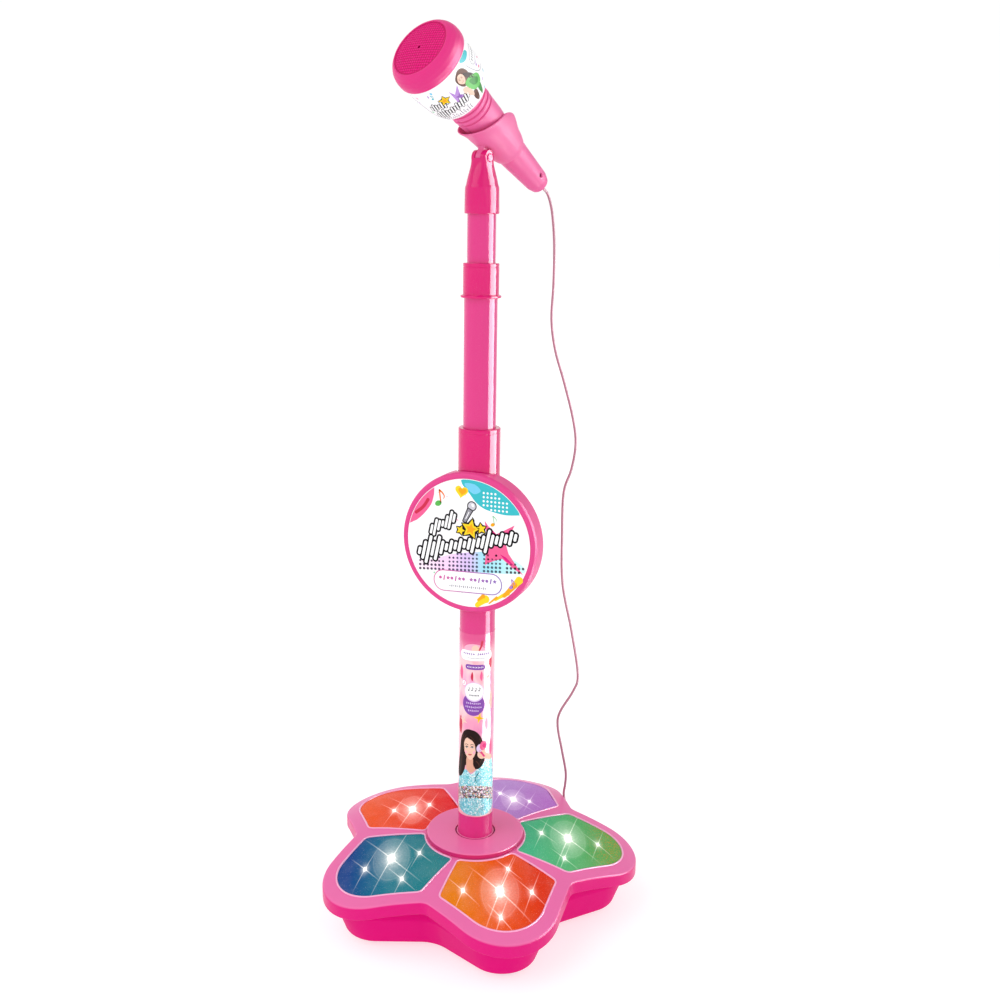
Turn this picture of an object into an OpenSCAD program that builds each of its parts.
// Toy stand microphone: star-shaped light base, telescopic pole, round sign and clip-held microphone.
// Origin: pole axis at floor level. +Z is up. The sign faces -Y.

/* [Star base] */
// Distance from the pole axis to the tip of each lobe
lobe_r = 151; // [146:1:156]
// Radius of the rounded tip of each lobe
lobe_round = 50; // [47:1:53]
// Distance from the pole axis to the bottom of each notch between lobes
notch_r = 113; // [111:1:115]
// Radius of the fillet in each notch
notch_round = 12; // [10:1:14]
// Height of the top surface at the pole
crown_z = 65.5; // [64.5:0.5:66.5]
// Height of the top surface at the lobe tips
rim_z = 48; // [46:1:50]
// Height of the overhanging band around the top cover
band_h = 12; // [10:1:13]
// How far the band stands out past the tray
overhang = 10; // [8:1:11]
// Wall thickness of the base mouldings
wall = 2.4; // [2:0.2:2.8]
// Height of the tray's underside above the floor
foot_h = 6; // [5:0.5:7]
// How far the tray's lower tier is set in from its upper wall
tray_setback = 8; // [6:0.5:9]

/* [Light panels] */
// Width of the rim outside the panels
panel_rim = 12.5; // [11:0.5:14]
// Distance from the pole axis to a panel's inner edge
panel_in_r = 46.5; // [46:0.5:48]
// Half angle between the two straight sides of a panel
panel_half_a = 29.6; // [29:0.2:30]

/* [Pole] */
// Outer radius of the lower tube
lower_r = 16; // [15.5:0.25:16]
// Outer radius of the middle tube
middle_r = 14.25; // [14:0.05:14.3]
// Outer radius of the upper tube
upper_r = 12; // [11.5:0.25:12.25]
// Wall thickness of the lower and the upper tube
tube_wall = 1.2; // [1:0.1:1.3]
// Height of the lower collar's top
lower_top_z = 453; // [440:1:470]
// Height at which the upper collar begins
upper_collar_z = 563; // [545:1:580]
// Height at which the clip stem begins
stem_z = 631; // [620:1:645]

/* [Sign] */
// Radius of the sign
sign_r = 62.5; // [58:0.5:66]
// Height of the sign's centre
sign_z = 355; // [345:1:362]
// Distance from the pole axis to the sign's front rim
sign_front_y = 24; // [23:0.5:26]

/* [Microphone] */
// Height of the clip's hinge pin
pivot_z = 675; // [673:0.5:677]
// Tilt of the microphone above the horizontal, in degrees
mic_tilt = 33; // [25:1:40]
// Turn of the microphone away from the sign's direction, in degrees
mic_turn = 19; // [0:1:30]
// Distance from the hinge pin to the microphone's axis
mic_lift = 25; // [25:0.5:26]
// Radius of the microphone's head cap
cap_r = 30.5; // [29:0.5:32]
// Running clearance between parts that move on each other
run = 0.05; // [0.03:0.01:0.08]

/* [Hidden] */
$fn = 64;

// --- star outline ---
first_lobe_a = -54;
lobe_names = ["orange", "green", "purple", "red", "teal"];
tip_c = lobe_r - lobe_round;
notch_c = notch_r + notch_round;
notch_v = [notch_c * cos(36) - tip_c, notch_c * sin(36)];
// Direction that the straight edge between a tip and a notch faces, from the lobe's own axis
edge_a = atan2(notch_v.y, notch_v.x) - acos((lobe_round + notch_round) / norm(notch_v));
tip_steps = 14;
notch_steps = 5;

function turned(a, p) = [p.x * cos(a) - p.y * sin(a), p.x * sin(a) + p.y * cos(a)];
function tip_point(t, inset) = [tip_c, 0] + (lobe_round - inset) * [cos(t), sin(t)];
function notch_point(b, inset) =
  notch_c * [cos(36), sin(36)] - (notch_round + inset) * [cos(b), sin(b)];
function star_points(inset) = [
  for (k = [0:4], i = [0:tip_steps + notch_steps + 1])
    let (
      t = -edge_a + 2 * edge_a * i / tip_steps,
      b = edge_a + (72 - 2 * edge_a) * (i - tip_steps - 1) / notch_steps
    )
    turned(first_lobe_a + 72 * k, i <= tip_steps ? tip_point(t, inset) : notch_point(b, inset))
];

// --- domed top surface ---
dome_power = 4;
dome_end_r = 170;
dome_step = 8.5;
dome_clear = 20;
function surface_z(r) = crown_z - (crown_z - rim_z) * pow(r / lobe_r, dome_power);

module star(inset) polygon(star_points(inset));

module under_dome(drop) {
  rotate_extrude()
    polygon(concat(
      [[0, -20], [dome_end_r, -20]],
      [for (r = [dome_end_r:-dome_step:0]) [r, surface_z(r) - drop]]
    ));
}

// Everything between the top surface lowered by a and the same surface lowered by b
module dome_layer(a, b) {
  difference() {
    under_dome(a);
    under_dome(b);
  }
}

module star_layer(inset, a, b) {
  intersection() {
    linear_extrude(crown_z + 5) star(inset);
    dome_layer(a, b);
  }
}

module at_lobe(k) {
  rotate([0, 0, first_lobe_a + 72 * k]) children();
}

module at_notches(r) {
  for (k = [0:4])
    rotate([0, 0, first_lobe_a + 36 + 72 * k]) translate([r, 0, 0]) children();
}

// --- base ---
boss_r = 45;
boss_top_z = 70.5;
socket_r = 18.2;
socket_gap = 0.3;
socket_floor_z = foot_h + wall + 3.6;
tray_inset = overhang + 0.1;
tray_ledge_z = 31;
tray_open_z = crown_z;
post_r = 4;
post_ring_r = 82;
post_split_z = 34;
pilot_r = 1.5;
screw_head_r = 2.9;
screw_seat_z = 24;
lens_depth = 2.45;
lens_flange = 1.5;
led_big_r = 90;
led_small = [[62, 8], [118, -3], [90, 29], [90, -29]];
speaker_lobe = 1;
speaker_x = 78;
speaker_r = 28.5;
battery_lobe = 3;
battery_x = 68;
cell_r = 7.1;
cell_len = 49.5;
cell_pitch = 15;
door_l = 62;
door_w = 48;
door_gap = 0.2;
switch_y = 84;
switch_slot = [14, 6];
board_z = post_split_z;
gland_a = 54;
gland_z = 41;
gland_r = 4;
gland_len = 13;
tray_wall_r = notch_r - tray_inset;
floor_top_z = foot_h + wall;

module panel_shape(inset) {
  apex = [-6.1 + inset / sin(panel_half_a), 0];
  reach = 200;
  intersection() {
    star_at_zero(panel_rim + inset);
    difference() {
      translate(apex)
        polygon([[0, 0], reach * [cos(panel_half_a), -sin(panel_half_a)],
          reach * [cos(panel_half_a), sin(panel_half_a)]]);
      circle(r = panel_in_r + inset);
    }
  }
}

module star_at_zero(inset) rotate(-first_lobe_a) star(inset);

module panel_cut(inset) {
  for (k = [0:4])
    at_lobe(k) linear_extrude(crown_z + 5) panel_shape(inset);
}

module light_panel(k) {
  intersection() {
    at_lobe(k) linear_extrude(crown_z + 5) panel_shape(0.1);
    dome_layer(0.5, lens_depth + 0.1);
  }
  intersection() {
    at_lobe(k) linear_extrude(crown_z + 5) panel_shape(-lens_flange);
    dome_layer(lens_depth, lens_depth + 1.2);
  }
}

module base_cover() {
  color("#f573af") {
    difference() {
      star_layer(0, 0, band_h);
      star_layer(wall, wall, band_h - wall);
      star_layer(overhang, band_h - wall - 1, band_h + 1);
      panel_cut(0);
      translate([0, 0, crown_z - 10]) cylinder(r = socket_r + socket_gap, h = 20);
    }
    difference() {
      intersection() {
        at_notches(post_ring_r) translate([0, 0, post_split_z]) cylinder(r = post_r, h = 40);
        under_dome(wall);
      }
      at_notches(post_ring_r) translate([0, 0, post_split_z - 1]) cylinder(r = pilot_r, h = 14);
    }
  }
}

module tray_tier(inset, bottom_z, top_z) {
  translate([0, 0, bottom_z]) linear_extrude(top_z - bottom_z) star(inset);
}

// An upper wall just inside the cover, a ledge, and a smaller tier below it
module tray_shell() {
  lower_inset = tray_inset + tray_setback;
  difference() {
    union() {
      tray_tier(tray_inset, tray_ledge_z, tray_open_z);
      tray_tier(lower_inset, foot_h, tray_ledge_z + 1);
    }
    dome_layer(-dome_clear, band_h - wall);
    tray_tier(tray_inset + wall, tray_ledge_z + wall, tray_open_z + 1);
    tray_tier(lower_inset + wall, floor_top_z, tray_open_z + 1);
  }
}

module grille_slots() {
  at_lobe(speaker_lobe)
    translate([speaker_x, 0, foot_h - 1])
      for (i = [-3:3])
        translate([5.5 * i - 1.25, -20 + 2 * abs(i), 0]) cube([2.5, 40 - 4 * abs(i), wall + 2]);
}

module door_opening() {
  at_lobe(battery_lobe)
    translate([battery_x - door_l / 2, -door_w / 2, foot_h - 1]) cube([door_l, door_w, wall + 2]);
}

module battery_walls() {
  at_lobe(battery_lobe)
    translate([battery_x, 0, floor_top_z - 0.5])
      difference() {
        translate([-door_l / 2 - 2, -door_w / 2 - 2, 0]) cube([door_l + 4, door_w + 4, 18]);
        translate([-door_l / 2, -door_w / 2, -1]) cube([door_l, door_w, 20]);
      }
}

module base_tray() {
  color("#e0007c")
    difference() {
      union() {
        tray_shell();
        at_notches(post_ring_r)
          translate([0, 0, foot_h + 1]) cylinder(r = post_r + 1, h = post_split_z - foot_h - 1);
        battery_walls();
      }
      at_notches(post_ring_r) {
        translate([0, 0, foot_h - 1]) cylinder(r = pilot_r + 0.1, h = 60);
        translate([0, 0, foot_h - 1]) cylinder(r = screw_head_r + 0.2, h = screw_seat_z - foot_h + 1);
      }
      grille_slots();
      door_opening();
      translate([-switch_slot.x / 2, switch_y - switch_slot.y / 2, foot_h - 1])
        cube([switch_slot.x, switch_slot.y, wall + 2]);
      rotate([0, 0, gland_a]) translate([80, 0, gland_z]) rotate([0, 90, 0])
        cylinder(r = gland_r + 0.1, h = 40);
    }
}

module boss_ring() {
  color("#ee5ba3")
    rotate_extrude()
      polygon([
        [socket_r + socket_gap, crown_z], [boss_r, crown_z], [boss_r, boss_top_z - 1.2],
        [boss_r - 1.2, boss_top_z], [socket_r + socket_gap, boss_top_z]
      ]);
}

module pole_socket() {
  color("#f05fa6") {
    rotate_extrude()
      polygon([
        [0, floor_top_z], [26, floor_top_z], [26, socket_floor_z], [socket_r, socket_floor_z],
        [socket_r, boss_top_z], [lower_r + run, boss_top_z], [lower_r + run, socket_floor_z],
        [0, socket_floor_z]
      ]);
    for (a = [0:90:270])
      rotate([0, 0, a + 45]) translate([socket_r - 0.5, -1, socket_floor_z - 0.5]) cube([6, 2, 22]);
  }
}

module light_board() {
  board_inset = tray_inset + wall + 16;
  color("#1d6b3c")
    difference() {
      translate([0, 0, board_z]) linear_extrude(1.6) star(board_inset);
      translate([0, 0, board_z - 1]) cylinder(r = 22, h = 4);
      at_notches(post_ring_r) translate([0, 0, board_z - 1]) cylinder(r = post_r + 0.5, h = 4);
    }
}

module bulb(r, h) {
  cylinder(r = r, h = h - r);
  translate([0, 0, h - r]) sphere(r = r);
}

module light_bulbs() {
  color("#fff6e0")
    for (k = [0:4])
      at_lobe(k) translate([0, 0, board_z + 1.6]) {
        translate([led_big_r, 0, 0]) bulb(4, 11);
        for (p = led_small) translate([p.x, p.y, 0]) bulb(2.5, 7);
      }
}

module sound_board() {
  color("#226b45")
    at_lobe(4) translate([78, 0, floor_top_z]) {
      for (x = [-20, 20], y = [-14, 14]) translate([x, y, 0]) cylinder(r = 2.5, h = 4);
      translate([-26, -20, 3.9]) cube([52, 40, 1.6]);
      translate([-12, -8, 5.4]) cube([16, 12, 2]);
      translate([12, 4, 5.4]) cylinder(r = 4, h = 10);
    }
}

module speaker() {
  color("#3a3a3e")
    at_lobe(speaker_lobe) translate([speaker_x, 0, floor_top_z])
      rotate_extrude()
        polygon([
          [8, 6], [speaker_r - 3, 1.2], [speaker_r - 3, 0], [speaker_r, 0], [speaker_r, 3],
          [14, 9], [14, 20], [0, 20], [0, 6]
        ]);
}

module battery_cells() {
  color("#c9a23a")
    at_lobe(battery_lobe)
      for (i = [-1:1])
        translate([battery_x - cell_len / 2, i * cell_pitch, floor_top_z + 1 + cell_r])
          rotate([0, 90, 0]) {
            cylinder(r = cell_r, h = cell_len - 1);
            translate([0, 0, cell_len - 1.5]) cylinder(r = 2.7, h = 1.5);
          }
}

module battery_contacts() {
  plate_x = door_l / 2 - 0.6;
  color("#c8ccd0")
    at_lobe(battery_lobe)
      for (i = [-1:1], s = [-1, 1])
        translate([battery_x + s * plate_x, i * cell_pitch, floor_top_z + 1 + cell_r])
          rotate([0, -90 * s, 0]) {
            translate([-5, -5, 0]) cube([10, 10, 0.5]);
            translate([0, 0, 0.4]) cylinder(r1 = 4.5, r2 = 2.4, h = plate_x - cell_len / 2 - 0.5);
          }
}

module battery_door() {
  color("#d80078")
    difference() {
      at_lobe(battery_lobe)
        translate([battery_x - door_l / 2 + door_gap, -door_w / 2 + door_gap, foot_h + 0.1])
          cube([door_l - 2 * door_gap, door_w - 2 * door_gap, wall - 0.2]);
      at_lobe(battery_lobe)
        translate([battery_x + door_l / 2 - 4, 0, foot_h - 1]) cylinder(r = 1.6, h = 6);
    }
}

module battery_door_screw() {
  color("#a8abb0")
    at_lobe(battery_lobe) translate([battery_x + door_l / 2 - 4, 0, 0]) {
      translate([0, 0, foot_h - 1.2]) cylinder(r = 2.6, h = 1.2);
      translate([0, 0, foot_h - 0.5]) cylinder(r = 1.5, h = 5);
    }
}

module switch_body() {
  color("#2b2b2e")
    difference() {
      translate([-11, switch_y - 5.5, floor_top_z]) cube([22, 11, 8]);
      translate([-8, switch_y - 2.5, floor_top_z - 1]) cube([16, 5, 4]);
    }
}

// Slider of the power switch; it sits at the off end of its slot
module power_switch() {
  color("#f2f2f2") {
    translate([-6.5, switch_y - 2.3, foot_h - 1]) cube([6, 4.6, 2.5]);
    translate([-6.5, switch_y - 2, foot_h + 1.4]) cube([6, 4, 3]);
  }
}

module rubber_feet() {
  foot_ring_r = 112;
  foot_r = 8;
  color("#7d1550")
    for (k = [0:4])
      at_lobe(k) translate([foot_ring_r, 0, 0]) rotate_extrude()
        polygon([[0, 0], [foot_r - 1.5, 0], [foot_r, 1.5], [foot_r, foot_h], [0, foot_h]]);
}

module base_screws() {
  color("#b6b9be")
    at_notches(post_ring_r) {
      translate([0, 0, screw_seat_z - 2.2]) cylinder(r = screw_head_r, h = 2.2);
      translate([0, 0, screw_seat_z - 0.5]) cylinder(r = pilot_r - 0.05, h = 22);
    }
}

module cord_gland_base() {
  color("#d81f7f")
    rotate([0, 0, gland_a]) translate([0, 0, gland_z]) rotate([0, 90, 0]) rotate_extrude()
      polygon([
        [0, tray_wall_r - wall - 3], [6, tray_wall_r - wall - 3], [6, tray_wall_r - wall - 1.4],
        [gland_r, tray_wall_r - wall - 1.4], [gland_r, tray_wall_r + 1], [5, tray_wall_r + 1.6],
        [5, tray_wall_r + 2.6], [1.9, tray_wall_r + gland_len], [0, tray_wall_r + gland_len]
      ]);
}

// --- pole ---
collar_wall = 2.3;
collar_lip = 4;
lower_collar_h = 55;
middle_bottom_z = 330;
upper_bottom_z = 470;
middle_in_r = middle_r - 1.45;
stem_socket = 14;

module ring(r_out, r_in, z0, z1) {
  translate([0, 0, z0])
    difference() {
      cylinder(r = r_out, h = z1 - z0);
      translate([0, 0, -1]) cylinder(r = r_in, h = z1 - z0 + 2);
    }
}

module lower_tube() {
  color("#eb3c8c") ring(lower_r, lower_r - tube_wall, socket_floor_z, lower_top_z - collar_lip);
}

// Printed film on the front of the lower tube
module tube_sticker() {
  sticker_r = lower_r + 0.02;
  sweep = 230;
  color("#f6b6d2")
    rotate([0, 0, -90 - sweep / 2]) rotate_extrude(angle = sweep)
      translate([sticker_r, 92]) square([0.2, 178]);
}

module lower_collar() {
  z0 = lower_top_z - lower_collar_h;
  color("#e81478")
    rotate_extrude()
      polygon([
        [lower_r + 0.02, z0], [lower_r + collar_wall + 0.7, z0], [lower_r + collar_wall + 0.7, z0 + 5],
        [lower_r + collar_wall, z0 + 8], [lower_r + collar_wall, lower_top_z - 1],
        [lower_r + collar_wall - 1, lower_top_z], [middle_r + run, lower_top_z],
        [middle_r + run, lower_top_z - collar_lip], [lower_r + 0.02, lower_top_z - collar_lip]
      ]);
}

module middle_tube() {
  color("#ee4a95") ring(middle_r, middle_in_r, middle_bottom_z, stem_z - 39.5 - collar_lip);
}

module tube_bush(z, r_slide, r_plug, r_hole) {
  color("#e9e4e6")
    rotate_extrude()
      polygon([
        [r_hole, z - 8], [r_slide, z - 8], [r_slide, z], [r_plug, z], [r_plug, z + 8], [r_hole, z + 8]
      ]);
}

module middle_bush() {
  tube_bush(middle_bottom_z, lower_r - tube_wall - run, middle_in_r - 0.02, middle_r - 3.2);
}

module upper_collar() {
  top_z = stem_z - 39.5;
  collar_r = middle_r + 1.05;
  color("#e81478")
    rotate_extrude()
      polygon([
        [middle_r + 0.02, upper_collar_z], [collar_r + 2, upper_collar_z], [collar_r + 2, upper_collar_z + 2],
        [collar_r, upper_collar_z + 2.6], [collar_r, top_z - 0.8], [collar_r - 0.8, top_z],
        [upper_r + run, top_z], [upper_r + run, top_z - collar_lip], [middle_r + 0.02, top_z - collar_lip]
      ]);
}

module upper_tube() {
  color("#f0579c") ring(upper_r, upper_r - tube_wall, upper_bottom_z, stem_z + stem_socket);
}

module upper_bush() {
  tube_bush(upper_bottom_z, middle_in_r - run, upper_r - tube_wall - 0.02, upper_r - 3);
}

// --- sign, drawn facing -Y with its centre on the pole axis ---
sign_back_y = -8;
sleeve_r = lower_r + run;
sleeve_wall = 2.4;
clamp_half_h = 32;
clamp_screw_z = 24;
clamp_ear_x = 27;
collar_relief_r = lower_r + collar_wall + 1.3;

// Turns a shape drawn along +Z so that it faces -Y at the sign's height, starting at depth y
module on_sign(y) {
  translate([0, y, sign_z]) rotate([90, 0, 0]) children();
}

module sign_front() {
  depth = sign_front_y + sign_back_y;
  color("#eb50a0")
    difference() {
      on_sign(sign_back_y) rotate_extrude()
        polygon([
          [0, depth - 3], [sign_r - 2.4, depth - 3], [sign_r - 2.4, 0], [sign_r, 0], [sign_r, depth - 1.5],
          [sign_r - 1.5, depth], [sign_r - 4.5, depth], [sign_r - 5.3, depth - 0.8], [0, depth - 0.8]
        ]);
      translate([0, 0, sign_z - sign_r - 5]) cylinder(r = lower_r + 0.6, h = 2 * sign_r + 10);
      collar_relief();
    }
}

// Room in the sign for the lower end of the collar, at any turn of the sign
module collar_relief() {
  translate([0, 0, lower_top_z - lower_collar_h - 0.6]) cylinder(r = collar_relief_r, h = 60);
}

module sign_label() {
  color("#fbfbfd")
    on_sign(-sign_front_y + 0.78) cylinder(r = sign_r - 5.5, h = 0.4);
}

module sign_back() {
  color("#e0468f")
    difference() {
      union() {
        on_sign(sign_back_y + 2) cylinder(r = sign_r - 2.6, h = 1.9);
        translate([0, 0, sign_z - clamp_half_h]) cylinder(r = sleeve_r + sleeve_wall, h = 2 * clamp_half_h);
        translate([-clamp_ear_x - 5, sign_back_y + 1, sign_z - clamp_half_h])
          cube([2 * clamp_ear_x + 10, -sign_back_y - 1.2, 2 * clamp_half_h]);
      }
      translate([0, 0, sign_z - sign_r - 5]) cylinder(r = sleeve_r, h = 2 * sign_r + 10);
      collar_relief();
      translate([-60, 0, sign_z - 70]) cube([120, 60, 140]);
      translate([-60, -60 - 16.4 - 0.1, sign_z - 70]) cube([120, 60, 140]);
      clamp_holes(1.3);
    }
}

module clamp_holes(r) {
  for (x = [-clamp_ear_x, clamp_ear_x], z = [-clamp_screw_z, clamp_screw_z])
    translate([x, 20, sign_z + z]) rotate([90, 0, 0]) cylinder(r = r, h = 27);
}

module sign_clamp() {
  color("#e0468f")
    difference() {
      union() {
        translate([0, 0, sign_z - clamp_half_h]) cylinder(r = sleeve_r + sleeve_wall, h = 2 * clamp_half_h);
        translate([-clamp_ear_x - 5, 0, sign_z - clamp_half_h])
          cube([2 * clamp_ear_x + 10, 3, 2 * clamp_half_h]);
      }
      translate([0, 0, sign_z - clamp_half_h - 1]) cylinder(r = sleeve_r, h = 2 * clamp_half_h + 2);
      translate([-60, -60 + 0.05, sign_z - 70]) cube([120, 60, 140]);
      clamp_holes(1.6);
    }
}

module sign_screws() {
  color("#b6b9be")
    for (x = [-clamp_ear_x, clamp_ear_x], z = [-clamp_screw_z, clamp_screw_z])
      translate([x, 0, sign_z + z]) rotate([90, 0, 0]) {
        translate([0, 0, -5]) cylinder(r = 2.7, h = 2);
        translate([0, 0, -3.5]) cylinder(r = 1.25, h = 9);
      }
}

// --- clip ---
ear_half = 8;
slot_half = 3.25;
pin_r = 2;
ear_r = 6.6;
lug_r = 5.8;
stem_socket_r = upper_r + run;

module in_turn() {
  rotate([0, 0, -mic_turn]) children();
}

// Microphone frame: +Z along its axis towards the head, +Y away from the hinge pin
module in_mic() {
  in_turn() translate([0, 0, pivot_z]) rotate([90 - mic_tilt, 0, 0]) translate([0, mic_lift, 0]) children();
}

module clip_stem() {
  color("#e4147a")
    in_turn()
      difference() {
        union() {
          rotate_extrude()
            polygon([
              [0, stem_z], [14.5, stem_z], [14.5, stem_z + 2], [14.2, stem_z + 21], [13.4, stem_z + 22.5],
              [12.6, stem_z + 27], [11.2, stem_z + 32], [9.6, stem_z + 36], [8.6, stem_z + 39],
              [0, stem_z + 39]
            ]);
          translate([-ear_half, 0, pivot_z]) rotate([0, 90, 0]) cylinder(r = ear_r, h = 2 * ear_half);
          translate([-ear_half, -ear_r, pivot_z - 10]) cube([2 * ear_half, 2 * ear_r, 10]);
        }
        translate([-slot_half, -20, pivot_z - 7.5]) cube([2 * slot_half, 40, 30]);
        translate([-20, 0, pivot_z]) rotate([0, 90, 0]) cylinder(r = pin_r + run, h = 40);
        translate([0, 0, stem_z - 1]) cylinder(r = stem_socket_r, h = stem_socket + 1.1);
      }
}

module clip_pin() {
  color("#c9ccd1")
    in_turn() translate([0, 0, pivot_z]) rotate([0, 90, 0]) {
      translate([0, 0, -ear_half - 1.2]) cylinder(r = 3.4, h = 1.2);
      translate([0, 0, -ear_half - 0.5]) cylinder(r = pin_r, h = 2 * ear_half + 1);
      translate([0, 0, ear_half]) cylinder(r = 3.4, h = 1.2);
    }
}

// Radius of the microphone's body where the clip holds it, at distance s along its axis
seat_s = [-23, 14, 44];
seat_r = [13.15, 16.8, 17.8];
fit_gap = 0.06;
function grip_r(s) = lookup(s, [for (i = [0:2]) [seat_s[i], seat_r[i]]]);

module mic_clip() {
  lip_s = 28;
  tail_s = seat_s[0];
  mouth_s = 19;
  mouth_a = 24;
  slot_w = 18;
  color("#e8288a")
    in_mic()
      difference() {
        union() {
          rotate_extrude()
            polygon([
              [0, tail_s], [grip_r(tail_s) + 1.6, tail_s], [16, -18], [17.3, -8], [18.2, 3],
              [19, 12], [19.6, lip_s], [0, lip_s]
            ]);
          translate([-slot_half + 0.1, -mic_lift, -lug_r]) cube([2 * slot_half - 0.2, 10, 2 * lug_r]);
          translate([-slot_half + 0.1, -mic_lift, 0]) rotate([0, 90, 0])
            cylinder(r = lug_r, h = 2 * slot_half - 0.2);
        }
        rotate_extrude()
          polygon([
            [0, tail_s - 1], [grip_r(tail_s) + fit_gap, tail_s - 1], [grip_r(tail_s) + fit_gap, tail_s],
            [grip_r(14) + fit_gap, 14], [grip_r(lip_s + 1) + fit_gap, lip_s + 1], [0, lip_s + 1]
          ]);
        // slanted mouth: the lower lip reaches further towards the head than the upper edge
        translate([-40, 0, mouth_s]) rotate([-mouth_a, 0, 0]) translate([0, -60, 0]) cube([80, 120, 60]);
        // open top that the microphone's handle shows through
        translate([-slot_w / 2, 0, tail_s - 5]) cube([slot_w, 40, 80]);
        translate([-20, -mic_lift, 0]) rotate([0, 90, 0]) cylinder(r = pin_r + run, h = 40);
      }
}

// --- microphone ---
shell_wall = 2;
rib_s = [31, 36, 41];
rib_w = 1.2;
rib_d = 0.8;
strap_s = -60;
tail_hole_r = 2.2;
mic_screw_s = [-40, -10];
gland_tip_s = -79;

function body_profile(inset) = concat(
  [[0, -75 + inset], [5.5 - inset, -75 + inset], [8.6 - inset, -72.5 + inset / 2], [10.1 - inset, -67]],
  [for (i = [0:1]) [seat_r[i] - inset, seat_s[i]]],
  [[seat_r[2] - inset, seat_s[2] - inset], [0, seat_s[2] - inset]]
);

module mic_body() {
  in_mic()
    difference() {
      rotate_extrude() polygon(body_profile(0));
      rotate_extrude() polygon(body_profile(shell_wall));
      for (s = rib_s)
        translate([0, 0, s]) difference() {
          translate([0, 0, -rib_w / 2]) cylinder(r = 25, h = rib_w);
          translate([0, 0, -rib_w]) cylinder(r = grip_r(s) - rib_d, h = 2 * rib_w);
        }
      translate([0, 0, -80]) cylinder(r = tail_hole_r, h = 10);
      translate([0, 0, 40]) cylinder(r = 6, h = 10);
      translate([-20, 0, strap_s]) rotate([0, 90, 0]) cylinder(r = 1.6, h = 40);
      for (s = mic_screw_s)
        translate([-20, 0, s]) rotate([0, 90, 0]) cylinder(r = 1.3, h = 40);
    }
}

module mic_half(side) {
  color("#f05aa0")
    intersection() {
      mic_body();
      in_mic() translate([side > 0 ? 0.01 : -40.01, -40, -90]) cube([40, 80, 150]);
    }
}

module mic_shell_left() mic_half(-1);

module mic_shell_right() mic_half(1);

// Tapping screws that pull the two halves of the handle together
module mic_screws() {
  color("#b6b9be")
    in_mic()
      for (s = mic_screw_s)
        translate([-9, 0, s]) rotate([0, 90, 0]) cylinder(r = 1.25, h = 18);
}

function bowl_profile(grow) = [
  [18.5 + grow, 44.05], [22 + grow, 46.5], [25 + grow, 51], [27.2 + grow, 58], [28.6 + grow, 66],
  [29.8 + grow, 88]
];

module mic_bowl() {
  outer = bowl_profile(0);
  inner = bowl_profile(-2);
  color("#f8f4f6")
    in_mic() rotate_extrude()
      polygon(concat(
        [[7, 44.05]], outer, [for (i = [5:-1:1]) inner[i]], [[17, 46.1], [7, 46.1]]
      ));
}

module mic_label() {
  outer = bowl_profile(0.2);
  inner = bowl_profile(0.02);
  color("#fdfdfd")
    in_mic() rotate_extrude()
      polygon(concat(
        [for (i = [1:5]) outer[i] - [0, 0.1 * i]],
        [for (i = [5:-1:1]) inner[i] - [0, 0.1 * i]]
      ));
}

module mic_cap() {
  color("#ec2887")
    in_mic() rotate_extrude()
      polygon([
        [27.9, 88.1], [cap_r, 88.1], [cap_r + 0.2, 91], [cap_r, 94], [cap_r - 1, 97.5], [cap_r - 3, 100.6],
        [cap_r - 5.6, 102.5], [23.9, 103], [23.9, 100], [27.9, 97]
      ]);
}

module mic_grille() {
  color("#e81c80")
    in_mic() difference() {
      rotate_extrude()
        polygon([[0, 101.6], [23.8, 100.1], [23.8, 102.6], [18, 103.4], [10, 104], [0, 104.3]]);
      translate([0, 0, 98]) cylinder(r = 1.2, h = 8);
    }
}

module mic_capsule_holder() {
  color("#d9d9de")
    in_mic() rotate_extrude()
      polygon([[10.1, 80], [27.3, 80], [27.3, 82], [12.1, 82], [12.1, 90], [10.1, 90]]);
}

module mic_capsule() {
  color("#4a4a50")
    in_mic() translate([0, 0, 82]) cylinder(r = 10, h = 14);
}

module cord_gland_mic() {
  color("#c81f78")
    in_mic() rotate_extrude()
      polygon([
        [0, gland_tip_s], [1.7, gland_tip_s], [2.1, -75.5], [2.1, -72.95], [3.3, -72.95],
        [3.3, -71.5], [0, -71.5]
      ]);
}

// --- cord: hangs from the microphone's tail to the strain relief in the base ---
cord_r = 1.2;
cord_sides = 8;
cord_sub = 3;
// Ends: the outer faces of the two strain reliefs
cord_gap = 0.25;
cord_start = mic_point(gland_tip_s - cord_gap);
cord_end_r = tray_wall_r + gland_len + cord_gap;
cord_end = [cord_end_r * cos(gland_a), cord_end_r * sin(gland_a), gland_z];
// Route by hand, from the microphone's tail to the base
cord_route = [
  cord_start,
  [28.5, 81.5, 648], [32, 82.5, 636], [35, 80.5, 620], [37, 78.5, 600], [37.5, 77, 570], [36.5, 77, 540],
  [40, 79, 513], [48, 82, 485], [56.5, 85, 452], [59.5, 86.5, 428], [56.5, 85.5, 404], [50.5, 83, 382],
  [49.5, 85, 340], [50, 89, 292], [58, 96, 244], [64, 102, 198], [60, 102, 180], [48, 99, 157],
  [45, 102, 140], [48, 108, 113], [50, 117, 85], [48, 123, 68], [46, 125.5, 55], [50, 123, 44],
  [60, 115, 38.5], [69, 105, 38.5], [72, 99, 40.8],
  cord_end
];

// A point on the microphone's axis at distance s from the middle of the clip
function mic_point(s) =
  let (
    back = mic_lift * sin(mic_tilt) - s * cos(mic_tilt),
    up = mic_lift * cos(mic_tilt) + s * sin(mic_tilt)
  )
  [back * sin(mic_turn), back * cos(mic_turn), pivot_z + up];

function unit(v) = v / norm(v);
function route_point(i) = cord_route[max(0, min(len(cord_route) - 1, i))];

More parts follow.
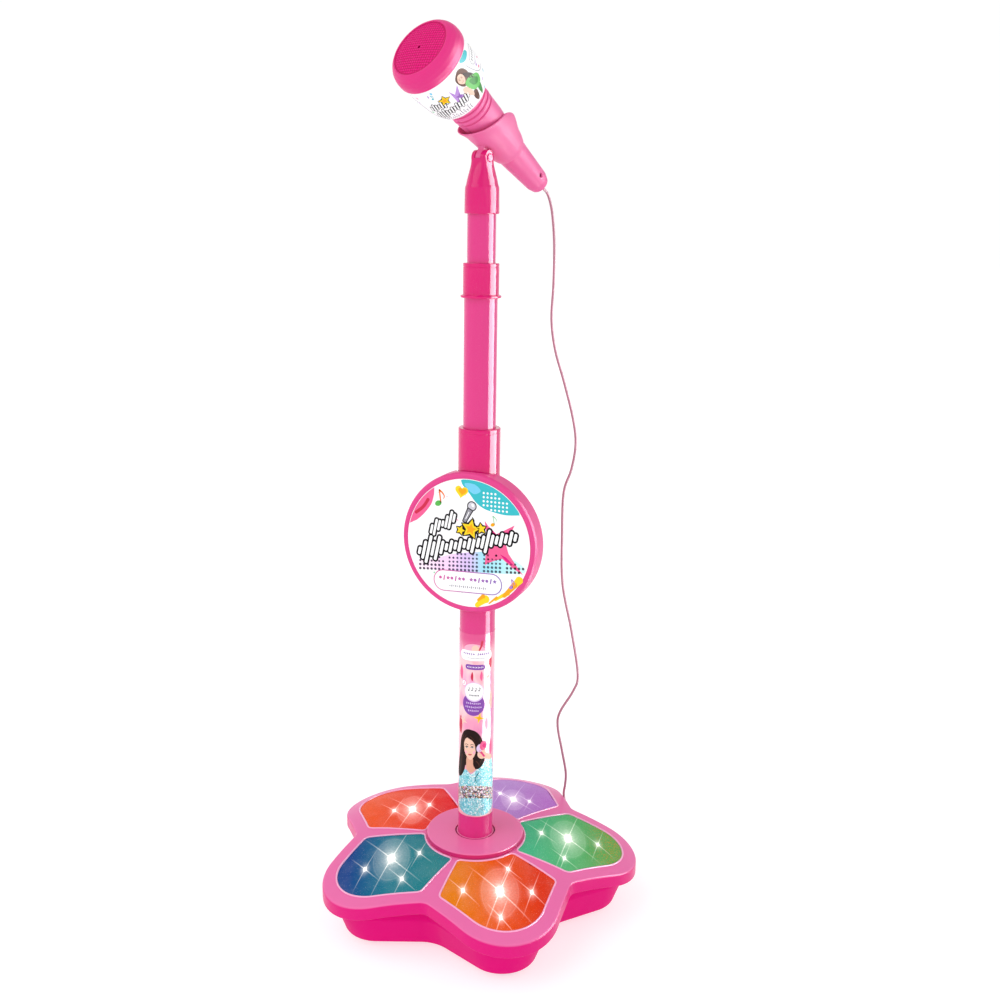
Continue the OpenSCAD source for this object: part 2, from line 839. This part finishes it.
// Catmull-Rom curve through the route's points
function curve_point(i, t) =
  let (p0 = route_point(i - 1), p1 = route_point(i), p2 = route_point(i + 1), p3 = route_point(i + 2))
  0.5 * (2 * p1 + (p2 - p0) * t + (2 * p0 - 5 * p1 + 4 * p2 - p3) * t * t
    + (3 * p1 - p0 - 3 * p2 + p3) * t * t * t);

cord_path = concat(
  [for (i = [0:len(cord_route) - 2], j = [0:cord_sub - 1]) curve_point(i, j / cord_sub)],
  [cord_end]
);

function cord_ring(i) =
  let (
    last = len(cord_path) - 1,
    along = unit(cord_path[min(last, i + 1)] - cord_path[max(0, i - 1)]),
    side = unit(cross(along, [-0.4, 0.9, 0])),
    out = cross(side, along)
  )
  [for (k = [0:cord_sides - 1])
    let (a = 360 * k / cord_sides)
    cord_path[i] + cord_r * (cos(a) * side + sin(a) * out)];

module mic_cord() {
  n = len(cord_path);
  m = cord_sides;
  color("#d9a5b8")
    polyhedron(
      points = [for (i = [0:n - 1]) each cord_ring(i)],
      faces = concat(
        [[for (k = [0:m - 1]) k]],
        [for (i = [0:n - 2], k = [0:m - 1])
          let (a = i * m + k, b = i * m + (k + 1) % m)
          each [[a, b + m, b], [a, a + m, b + m]]],
        [[for (k = [m - 1:-1:0]) (n - 1) * m + k]]
      )
    );
}

module panel_orange() color("#f0661c") light_panel(0);

module panel_green() color("#4fb277") light_panel(1);

module panel_purple() color("#ac84cf") light_panel(2);

module panel_red() color("#ee3a2a") light_panel(3);

module panel_teal() color("#0f7f95") light_panel(4);

base_tray();
base_cover();
boss_ring();
pole_socket();
panel_orange();
panel_green();
panel_purple();
panel_red();
panel_teal();
light_board();
light_bulbs();
sound_board();
speaker();
battery_cells();
battery_contacts();
battery_door();
battery_door_screw();
switch_body();
power_switch();
rubber_feet();
base_screws();
cord_gland_base();
lower_tube();
tube_sticker();
lower_collar();
middle_tube();
middle_bush();
upper_collar();
upper_tube();
upper_bush();
sign_front();
sign_label();
sign_back();
sign_clamp();
sign_screws();
clip_stem();
clip_pin();
mic_clip();
mic_shell_left();
mic_shell_right();
mic_screws();
mic_bowl();
mic_label();
mic_cap();
mic_grille();
mic_capsule();
mic_capsule_holder();
cord_gland_mic();
mic_cord();
